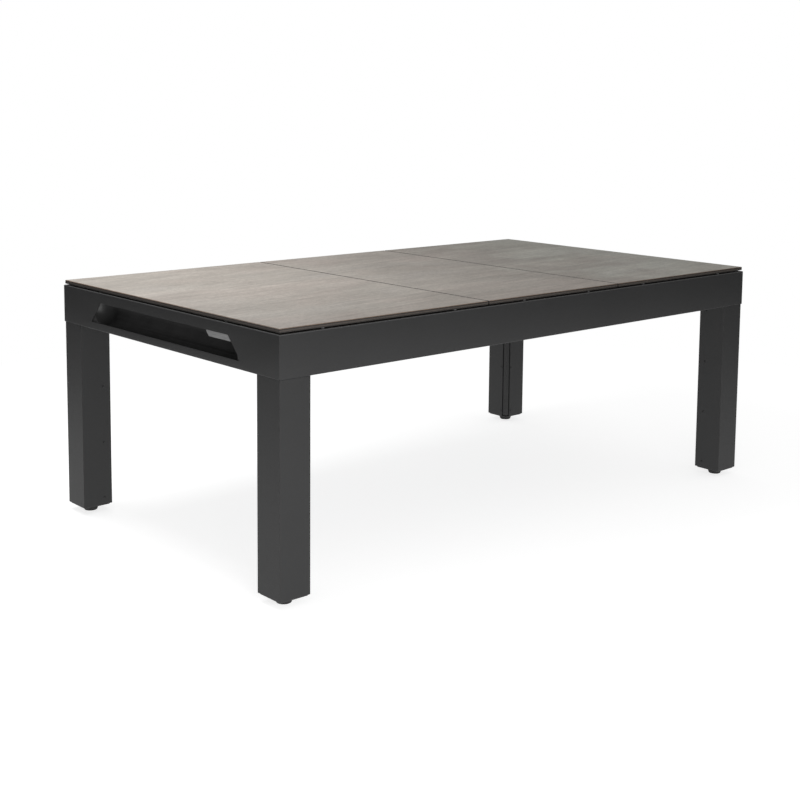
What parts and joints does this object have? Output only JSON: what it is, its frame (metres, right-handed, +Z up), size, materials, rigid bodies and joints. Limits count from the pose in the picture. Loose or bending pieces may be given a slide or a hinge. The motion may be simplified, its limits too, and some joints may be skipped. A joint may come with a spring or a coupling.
{
  "type": "pool table",
  "caption": "Dining-height pool table: folded steel body on square legs, slate bed with pockets and ball return, slot in the end, and lift-off top panels.",
  "frame": {"origin": "on the floor, under the middle of the table", "axes": "+X along the table, away from the slotted end; +Y to the long side that has no view in the picture; +Z up"},
  "size_m": [2.13, 1.21, 0.785],
  "materials": {
    "steel_body": "satin, fine-textured anthracite powder coat",
    "frame_steel": "matt dark powder coat",
    "zinc_sheet": "galvanised sheet, dull",
    "stud_steel": "blackened steel thread and screws",
    "liner_plastic": "black moulded plastic, satin",
    "trough_plastic": "black moulded plastic, glossy",
    "cap_plastic": "black moulded plastic",
    "foot_rubber": "black rubber",
    "panel_laminate": "compact laminate, brushed grey-beige face, dark core at the edge",
    "slate": "honed slate",
    "bed_cloth": "green worsted billiard cloth",
    "cushion_cloth": "rubber cushion under green worsted cloth",
    "rail_wood": "black-stained beech, matt",
    "plate_metal": "brushed, blank"
  },
  "bodies": {
    "table": {"front_apron": "steel_body", "front_gutter": "zinc_sheet", "front_bed_beam": "frame_steel", "front_middle_pocket_liner": "liner_plastic", "rear_apron": "steel_body", "rear_gutter": "zinc_sheet", "rear_bed_beam": "frame_steel", "rear_middle_pocket_liner": "liner_plastic", "left_end_apron": "steel_body", "left_end_rail": "rail_wood", "left_end_cushion": "cushion_cloth", "front_left_rail": "rail_wood", "front_left_cushion": "cushion_cloth", "front_left_pocket_liner": "liner_plastic", "front_left_leg_shell": "steel_body", "front_left_leg_post": "frame_steel", "front_left_leg_cap": "cap_plastic", "rear_left_rail": "rail_wood", "rear_left_cushion": "cushion_cloth", "rear_left_pocket_liner": "liner_plastic", "rear_left_leg_shell": "steel_body", "rear_left_leg_post": "frame_steel", "rear_left_leg_cap": "cap_plastic", "right_end_apron": "steel_body", "right_end_rail": "rail_wood", "right_end_cushion": "cushion_cloth", "front_right_rail": "rail_wood", "front_right_cushion": "cushion_cloth", "front_right_pocket_liner": "liner_plastic", "front_right_leg_shell": "steel_body", "front_right_leg_post": "frame_steel", "front_right_leg_cap": "cap_plastic", "rear_right_rail": "rail_wood", "rear_right_cushion": "cushion_cloth", "rear_right_pocket_liner": "liner_plastic", "rear_right_leg_shell": "steel_body", "rear_right_leg_post": "frame_steel", "rear_right_leg_cap": "cap_plastic", "left_slate": "slate", "middle_slate": "slate", "right_slate": "slate", "bed_cloth": "bed_cloth", "name_plate": "plate_metal", "return_lane": "zinc_sheet", "ball_trough": "trough_plastic", "cross_beam_1": "frame_steel", "cross_beam_2": "frame_steel", "cross_beam_3": "frame_steel", "cross_beam_4": "frame_steel"},
    "left_panel": {"left_panel": "panel_laminate"},
    "middle_panel": {"middle_panel": "panel_laminate"},
    "right_panel": {"right_panel": "panel_laminate"},
    "front_left_foot": {"front_left_foot_pad": "foot_rubber", "front_left_levelling_stud": "stud_steel"},
    "front_right_foot": {"front_right_foot_pad": "foot_rubber", "front_right_levelling_stud": "stud_steel"},
    "rear_left_foot": {"rear_left_foot_pad": "foot_rubber", "rear_left_levelling_stud": "stud_steel"},
    "rear_right_foot": {"rear_right_foot_pad": "foot_rubber", "rear_right_levelling_stud": "stud_steel"}
  },
  "joints": [
    {"name": "left_panel_lift", "type": "slide", "parent": "table", "child": "left_panel", "axis": [0, 0, 1], "range_m": [0, 0.3]},
    {"name": "middle_panel_lift", "type": "slide", "parent": "table", "child": "middle_panel", "axis": [0, 0, 1], "range_m": [0, 0.3]},
    {"name": "right_panel_lift", "type": "slide", "parent": "table", "child": "right_panel", "axis": [0, 0, 1], "range_m": [0, 0.3]},
    {"name": "front_left_foot_travel", "type": "slide", "parent": "table", "child": "front_left_foot", "axis": [0, 0, 1], "range_m": [-0.015, 0.005]},
    {"name": "front_right_foot_travel", "type": "slide", "parent": "table", "child": "front_right_foot", "axis": [0, 0, 1], "range_m": [-0.015, 0.005]},
    {"name": "rear_left_foot_travel", "type": "slide", "parent": "table", "child": "rear_left_foot", "axis": [0, 0, 1], "range_m": [-0.015, 0.005]},
    {"name": "rear_right_foot_travel", "type": "slide", "parent": "table", "child": "rear_right_foot", "axis": [0, 0, 1], "range_m": [-0.015, 0.005]}
  ]
}
